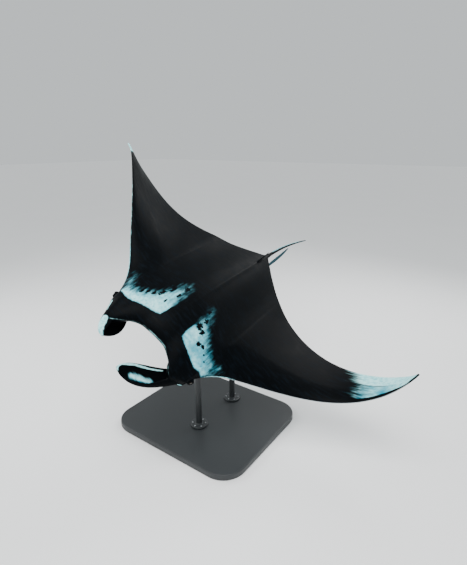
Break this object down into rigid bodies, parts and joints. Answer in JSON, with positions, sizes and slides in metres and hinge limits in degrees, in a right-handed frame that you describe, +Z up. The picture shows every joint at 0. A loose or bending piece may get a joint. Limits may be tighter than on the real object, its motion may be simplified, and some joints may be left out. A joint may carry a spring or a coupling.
{
  "type": "manta ray",
  "caption": "Life-size giant manta ray in a banking turn, wings curled and mouth open, held over a flat display base by two rods.",
  "frame": {"origin": "middle of the underside of the stand's base, on the floor", "axes": "+Z up; the animal's head points along -Y and its left side towards +X"},
  "size_m": [3.4199, 3.1762, 2.7679],
  "materials": {
    "skin": "near-black wet skin with pale blue-white shoulder patches and wing tip, white below",
    "pale_skin": "white skin of the underside",
    "eye": "glossy dark eye",
    "stand_paint": "satin dark grey paint on steel"
  },
  "bodies": {
    "root": {"head": "skin", "trunk": "skin", "left_wing": "skin", "right_wing": "skin", "left_cephalic_fin": "skin", "right_cephalic_fin": "skin", "dorsal_fin": "skin", "left_pelvic_fin": "skin", "right_pelvic_fin": "skin", "tail_base": "skin", "tail_middle": "skin", "tail_tip": "skin", "lower_jaw": "pale_skin", "left_eye": "eye", "right_eye": "eye", "stand_base": "stand_paint", "stand_rod_front": "stand_paint", "stand_rod_rear": "stand_paint"}
  },
  "joints": []
}
